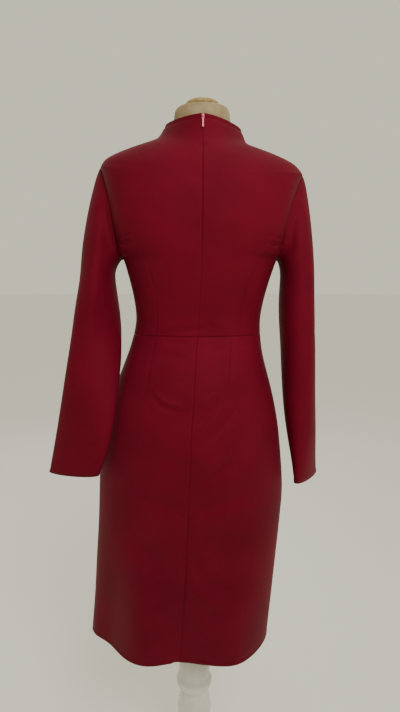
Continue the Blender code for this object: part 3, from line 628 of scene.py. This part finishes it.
    def drape(self, seams: "Seams") -> None:
        """Crease the skin, press its seams in and roll its turned edges.

        Args:
            seams: the edges of all the panels.
        """
        points = self.places()
        normals = np.zeros(points.size)
        self.skin.vertex_normals.foreach_get("vector", normals)
        normals = normals.reshape(-1, 3)
        lift = np.zeros(len(points))
        for crease in self.creases:
            lift += crease.lift(points, normals)
        edge = np.unique(self.rim())
        _, is_sewn = seams.mates(points[edge], self.node)
        if is_sewn.any():
            gap, _ = nearest(points, points[edge[is_sewn]])
            lift -= self.SEAM_DEPTH * np.exp(-(gap / self.SEAM_REACH) ** 2)
        if not is_sewn.all():
            gap, _ = nearest(points, points[edge[~is_sewn]])
            lift += self.EDGE_ROLL * np.exp(-(gap / self.EDGE_ROLL_REACH) ** 2)
            lift -= self.EDGE_LINE * np.exp(-((gap - self.EDGE_LINE_AT)
                                              / self.EDGE_LINE_REACH) ** 2)
        self.skin.vertices.foreach_set("co", (points + normals * lift[:, None]).ravel())
        self.skin.update()

    def close(self, seams: "Seams") -> None:
        """Bring the sewn edges together, and ease the cloth beside them after.

        Args:
            seams: the edges of all the creased panels.
        """
        points = self.places()
        edge = np.unique(self.rim())
        mates, is_sewn = seams.mates(points[edge], self.node)
        sewn = edge[is_sewn]
        if not len(sewn):
            return
        shift = (mates[is_sewn] - points[sewn]) / 2
        gap, index = nearest(points, points[sewn])
        points += shift[index] * np.exp(-(gap / self.CLOSE_REACH) ** 2)[:, None]
        self.skin.vertices.foreach_set("co", points.ravel())
        self.skin.update()

    def finish(self, material: bpy.types.Material) -> bpy.types.Object:
        """Give the skin its thickness and its finish, and put it in place of its solid.

        Args:
            material: the cloth's finish.

        Returns:
            The finished piece.
        """
        piece = bpy.data.objects.new(self.node + "_cloth", self.skin)
        bpy.context.scene.collection.objects.link(piece)
        self.skin.materials.clear()
        self.skin.materials.append(material)
        for face in self.skin.polygons:
            face.use_smooth = True
        wall = piece.modifiers.new("Thickness", "SOLIDIFY")
        wall.thickness = self.thickness
        wall.offset = -1.0
        wall.use_even_offset = False
        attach(piece, BODY)
        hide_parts(self.node)
        return piece


def nearest(points: np.ndarray, targets: np.ndarray) -> tuple[np.ndarray, np.ndarray]:
    """Find the nearest of some targets to each point.

    Args:
        points: the points to start from.
        targets: the places to look among.

    Returns:
        The distances and the targets' indices.
    """
    tree = KDTree(len(targets))
    for i, target in enumerate(targets):
        tree.insert(target, i)
    tree.balance()
    found = [tree.find(point) for point in points]
    return np.array([hit[2] for hit in found]), np.array([hit[1] for hit in found])


class Seams:
    """The edges at which panels meet."""

    NEAR = 0.0028                  # edges nearer than this are sewn together

    def __init__(self, panels: tuple[ClothPanel, ...]) -> None:
        """Collect the free edges of the panels."""
        self.starts, self.stops, self.owners = [], [], []
        for panel in panels:
            places, pairs = panel.places(), panel.rim()
            self.starts.append(places[pairs[:, 0]])
            self.stops.append(places[pairs[:, 1]])
            self.owners += [panel.node] * len(pairs)
        self.starts, self.stops = np.concatenate(self.starts), np.concatenate(self.stops)
        self.owners = np.array(self.owners)

    def mates(self, points: np.ndarray, node: str) -> tuple[np.ndarray, np.ndarray]:
        """Find the nearest place on another panel's edge.

        Args:
            points: the points of one panel's edge.
            node: that panel's node.

        Returns:
            The nearest places, and whether each is near enough to be sewn to.
        """
        other = self.owners != node
        starts, steps = self.starts[other], (self.stops - self.starts)[other]
        lengths = np.maximum((steps ** 2).sum(axis=1), 1e-12)
        best, found = np.full(len(points), np.inf), points.copy()
        for i, point in enumerate(points):
            run = np.clip(((point - starts) * steps).sum(axis=1) / lengths, 0.0, 1.0)
            places = starts + steps * run[:, None]
            gaps = np.linalg.norm(places - point, axis=1)
            closest = gaps.argmin()
            best[i], found[i] = gaps[closest], places[closest]
        return found, best < self.NEAR


@dataclass
class Dress:
    """The dress: its panels.  The zip that closes its back is built on its own."""

    panels: tuple[ClothPanel, ...] = (
        ClothPanel("bodice_front", (.62, .46), .17, FRONT_BODICE_CREASES),
        ClothPanel("bodice_back_left", (.24, .42), .066, BACK_BODICE_CREASES),
        ClothPanel("bodice_back_right", (.26, .42), .066, BACK_BODICE_CREASES),
        ClothPanel("bodice_side_back_left", (.12, .19), .016),
        ClothPanel("bodice_side_back_right", (.12, .19), .016),
        ClothPanel("skirt_front", (.52, .67), .31, FRONT_SKIRT_CREASES),
        ClothPanel("skirt_back_left", (.27, .67), .16, BACK_SKIRT_CREASES),
        ClothPanel("skirt_back_right", (.30, .67), .17, BACK_SKIRT_CREASES),
        ClothPanel("sleeve_left", (.36, .62), .155, LEFT_SLEEVE_CREASES, 2, True),
        ClothPanel("sleeve_right", (.36, .62), .155, RIGHT_SLEEVE_CREASES, 2, True),
    )

    def build(self) -> None:
        """Grow, drape and finish every panel."""
        material = CREPE.material()
        for panel in self.panels:
            panel.grow()
        seams = Seams(self.panels)
        for panel in self.panels:
            panel.drape(seams)
        creased = Seams(self.panels)
        for panel in self.panels:
            panel.close(creased)
            piece = panel.finish(material)
            LOG.info("%s: %d faces, area %.4f", piece.name, len(panel.skin.polygons),
                     sum(face.area for face in panel.skin.polygons))


# ---------------------------------------------------------------- the form and the zip

@dataclass
class Turned:
    """A turned piece: its profile is spun round the node's own axis."""

    node: str
    slot: str
    profile: tuple[tuple[float, float], ...]
    steps: int = 72

    def build(self, material: bpy.types.Material) -> bpy.types.Object:
        """Spin the profile and put the piece in place of its solid.

        Args:
            material: the piece's finish.

        Returns:
            The finished piece.
        """
        low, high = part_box(self.node)
        axis = Vector(((low.x + high.x) / 2, (low.y + high.y) / 2, 0.0))
        shape = bmesh.new()
        verts = [shape.verts.new(axis + Vector((radius, 0.0, z))) for radius, z in self.profile]
        edges = [shape.edges.new(pair) for pair in zip(verts, verts[1:])]
        bmesh.ops.spin(shape, geom=verts + edges, cent=axis, axis=(0, 0, 1), angle=math.tau,
                       steps=self.steps, use_merge=True)
        bmesh.ops.remove_doubles(shape, verts=shape.verts, dist=MERGE)
        bmesh.ops.recalc_face_normals(shape, faces=shape.faces)
        piece = add_object(self.node + "_turned", shape)
        piece.data.materials.append(material)
        for face in piece.data.polygons:
            face.use_smooth = True
        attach(piece, BODY)
        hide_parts(self.node)
        return piece


@dataclass
class Form:
    """The limbless form: a linen-covered torso, a wooden neck cap, a turned pole and a base."""

    parts: tuple[Turned, ...] = (
        Turned("form_cap", "cap_wood", ((0, 1.5055), (.012, 1.5053), (.020, 1.5048),
                                        (.026, 1.5037), (.0295, 1.5020), (.0315, 1.4999),
                                        (.0320, 1.4978), (.0318, 1.4956), (.0300, 1.4935),
                                        (0, 1.4935))),
        Turned("form_pole", "stand_wood", ((0, .8075), (.0500, .8075), (.0500, .7990),
                                           (.0360, .7970), (.0340, .7940), (.0340, .2930),
                                           (.0345, .2895), (.0375, .2855), (.0392, .2810),
                                           (.0395, .2760), (.0390, .2712), (.0370, .2668),
                                           (.0320, .2632), (.0290, .2605), (.0284, .2560),
                                           (.0290, .2515), (.0318, .2430), (.0350, .2330),
                                           (.0371, .2200), (.0375, .2100), (.0370, .1980),
                                           (.0352, .1840), (.0320, .1710), (.0286, .1580),
                                           (.0260, .1440), (.0250, .1300), (.0252, .1120),
                                           (.0270, .0940), (.0310, .0760), (.0375, .0630),
                                           (.0440, .0560), (.0470, .0520), (.0480, .0480),
                                           (.0480, .0405), (0, .0405))),
        Turned("form_base", "stand_wood", ((0, .0400), (.0700, .0400), (.0830, .0385),
                                           (.0950, .0360), (.1130, .0328), (.1300, .0290),
                                           (.1400, .0264), (.1480, .0240), (.1520, .0205),
                                           (.1540, .0165), (.1550, .0085), (.1543, .0030),
                                           (.1530, 0), (0, 0))),
    )
    fineness: int = 2

    def build(self) -> None:
        """Build the torso and the turned parts."""
        self.build_torso(LINEN.material())
        painted = PAINTED.material()
        for part in self.parts:
            finish = WAXED.material() if part.slot == "cap_wood" else painted
            LOG.info("%s", part.build(finish).name)

    def build_torso(self, material: bpy.types.Material) -> None:
        """Smooth the torso's solid.

        Args:
            material: the linen of its cover.
        """
        shape = bmesh.new()
        shape.from_mesh(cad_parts["form_torso"].data)
        bmesh.ops.remove_doubles(shape, verts=shape.verts, dist=MERGE)
        bmesh.ops.join_triangles(shape, faces=shape.faces, angle_face_threshold=math.radians(30),
                                 angle_shape_threshold=math.radians(60))
        piece = add_object("form_torso_linen", shape)
        piece.data.materials.clear()
        piece.data.materials.append(material)
        for face in piece.data.polygons:
            face.use_smooth = True
        finer = piece.modifiers.new("Finer", "SUBSURF")
        finer.levels = finer.render_levels = self.fineness
        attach(piece, BODY)
        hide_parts("form_torso")


@dataclass
class Zip:
    """The closed zip: its tape, slider and pull are solids, and its coil is added here."""

    pitch: float = 0.0014
    tooth: tuple[float, float, float] = (0.0036, 0.0009, 0.0009)
    step: float = 0.006
    top_stop: float = 0.004

    def build(self) -> None:
        """Finish the solids and add the coil behind the tape."""
        metal = ZIP_METAL.material()
        for node, material in (("zip_tape", TAPE.material()), ("zip_slider", metal),
                               ("zip_pull", metal)):
            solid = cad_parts[node]
            solid.data.materials.clear()
            solid.data.materials.append(material)
        LOG.info("%s", self.build_coil().name)

    def inner_line(self) -> np.ndarray:
        """Return the middle line of the tape's inner face, from its top down."""
        shape = bmesh.new()
        shape.from_mesh(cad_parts["zip_tape"].data)
        tree = BVHTree.FromBMesh(shape)
        places = np.array([vert.co[:] for vert in shape.verts])
        shape.free()
        line = []
        for z in np.arange(places[:, 2].max() - self.top_stop, places[:, 2].min(), -self.step):
            near = places[np.abs(places[:, 2] - z) < 3 * self.step]
            start = Vector((near[:, 0].mean(), near[:, 1].min() - self.step, z))
            hit = tree.ray_cast(start, Vector((0, 1, 0)))[0]
            if hit is not None:
                line.append(hit[:])
        return np.array(line)

    def build_coil(self) -> bpy.types.Object:
        """Return the coil: one small box-shaped tooth for each turn."""
        line = self.inner_line()
        steps = np.linalg.norm(np.diff(line, axis=0), axis=1)
        run = np.concatenate([[0.0], np.cumsum(steps)])
        shape = bmesh.new()
        width, depth, height = self.tooth
        for along in np.arange(0.0, run[-1], self.pitch):
            place = Vector([float(np.interp(along, run, line[:, axis])) for axis in range(3)])
            i = min(int(np.searchsorted(run, along, side="right")) - 1, len(steps) - 1)
            down = Vector(line[i + 1] - line[i]).normalized()
            inward = Vector((1, 0, 0)).cross(down).normalized()
            inward = inward if inward.y < 0 else -inward
            turn = Matrix((Vector((1, 0, 0)), inward, down)).transposed().to_4x4()
            bmesh.ops.create_cube(
                shape, size=1.0, matrix=Matrix.Translation(place + inward * depth * 0.6) @ turn
                @ Matrix.Diagonal((width, depth, height, 1.0)))
        coil = add_object("zip_coil", shape)
        coil.data.materials.append(COIL.material())
        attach(coil, BODY)
        return coil


# ---------------------------------------------------------------- studio

@dataclass(frozen=True)
class Lamp:
    """A square area lamp: its place, what it looks at, its side, power and beam."""

    name: str
    place: tuple[float, float, float]
    target: tuple[float, float, float]
    size: float
    watts: float
    spread_deg: float = 180.0

    def build(self) -> None:
        """Put the lamp in the scene."""
        light = bpy.data.lights.new(self.name, "AREA")
        light.spread = math.radians(self.spread_deg)
        light.size = self.size
        light.energy = self.watts
        lamp = add_light(light, Vector(self.place) - Vector(self.target))
        lamp.location = self.place


@dataclass
class Studio:
    """The floor, the light and the camera."""

    camera_place: tuple[float, float, float] = (-.013, 1.05, 1.16)
    pitch_deg: float = 8.0
    lens_mm: float = 26.0
    sensor_mm: float = 36.0
    floor_radius: float = 60.0
    floor_colour: str = "f9f6ea"
    floor_roughness: float = 0.9
    wall_colour: str = "d5d3bd"
    wall_light: float = 1.15
    room_light: float = 0.14
    wall_from: float = 0.35        # how far towards the room the wall's light starts to rise
    ceiling_way: tuple[float, float, float] = (-0.20, 0.22, 0.95)
    ceiling_strength: float = 1.0
    ceiling_deg: float = 70.0
    lamps: tuple[Lamp, ...] = (
        Lamp("key", (-0.50, 1.50, 2.10), (-0.03, 0.05, 1.17), 0.8, 6.4, 85.0),
        Lamp("fill", (1.8, 1.2, 1.6), (0.0, 0.0, 1.0), 1.2, 1.5),
        Lamp("front", (0.6, -2.4, 2.3), (0.0, 0.0, 1.0), 2.2, 14.0),
    )

    def build(self) -> None:
        """Build the floor, the lamps, the sky and the camera."""
        self.add_floor()
        for lamp in self.lamps:
            lamp.build()
        self.add_ceiling()
        self.add_sky()
        lens = bpy.data.cameras.new("camera")
        lens.lens = self.lens_mm
        lens.sensor_width = self.sensor_mm
        camera = bpy.data.objects.new("camera", lens)
        bpy.context.scene.collection.objects.link(camera)
        camera.location = self.camera_place
        camera.rotation_euler = (math.radians(90 - self.pitch_deg), 0.0, math.pi)
        bpy.context.scene.camera = camera

    def add_sky(self) -> None:
        """Add the sky: a bright wall past the dress's front, a dimmer room before its back."""
        world = bpy.context.scene.world or bpy.data.worlds.new("studio")
        bpy.context.scene.world = world
        world.use_nodes = True
        tree = world.node_tree
        background = tree.nodes["Background"]
        places = tree.nodes.new("ShaderNodeTexCoord")
        split = tree.nodes.new("ShaderNodeSeparateXYZ")
        wall = tree.nodes.new("ShaderNodeMapRange")
        wall.inputs["From Min"].default_value = self.wall_from
        wall.inputs["From Max"].default_value = -self.wall_from
        wall.inputs["To Min"].default_value = self.room_light
        wall.inputs["To Max"].default_value = self.wall_light
        tree.links.new(places.outputs["Generated"], split.inputs[0])
        tree.links.new(split.outputs["Y"], wall.inputs["Value"])
        tree.links.new(wall.outputs[0], background.inputs["Strength"])
        background.inputs["Color"].default_value = colour(self.wall_colour)

    def add_ceiling(self) -> None:
        """Add the soft, even light of a pale ceiling."""
        light = bpy.data.lights.new("ceiling", "SUN")
        light.energy = self.ceiling_strength
        light.angle = math.radians(self.ceiling_deg)
        add_light(light, Vector(self.ceiling_way))

    def add_floor(self) -> None:
        """Add the plain pale floor."""
        shape = bmesh.new()
        bmesh.ops.create_circle(shape, cap_ends=True, radius=self.floor_radius, segments=64)
        floor = add_object("floor", shape)
        material = bpy.data.materials.new("pale_floor")
        material.use_nodes = True
        shader = material.node_tree.nodes["Principled BSDF"]
        shader.inputs["Base Color"].default_value = colour(self.floor_colour)
        shader.inputs["Roughness"].default_value = self.floor_roughness
        floor.data.materials.append(material)


def main() -> None:
    """Build the dress, its form and the studio."""
    logging.basicConfig(level=logging.INFO)
    Dress().build()
    Zip().build()
    Form().build()
    Studio().build()


if __name__ == "__main__":
    main()
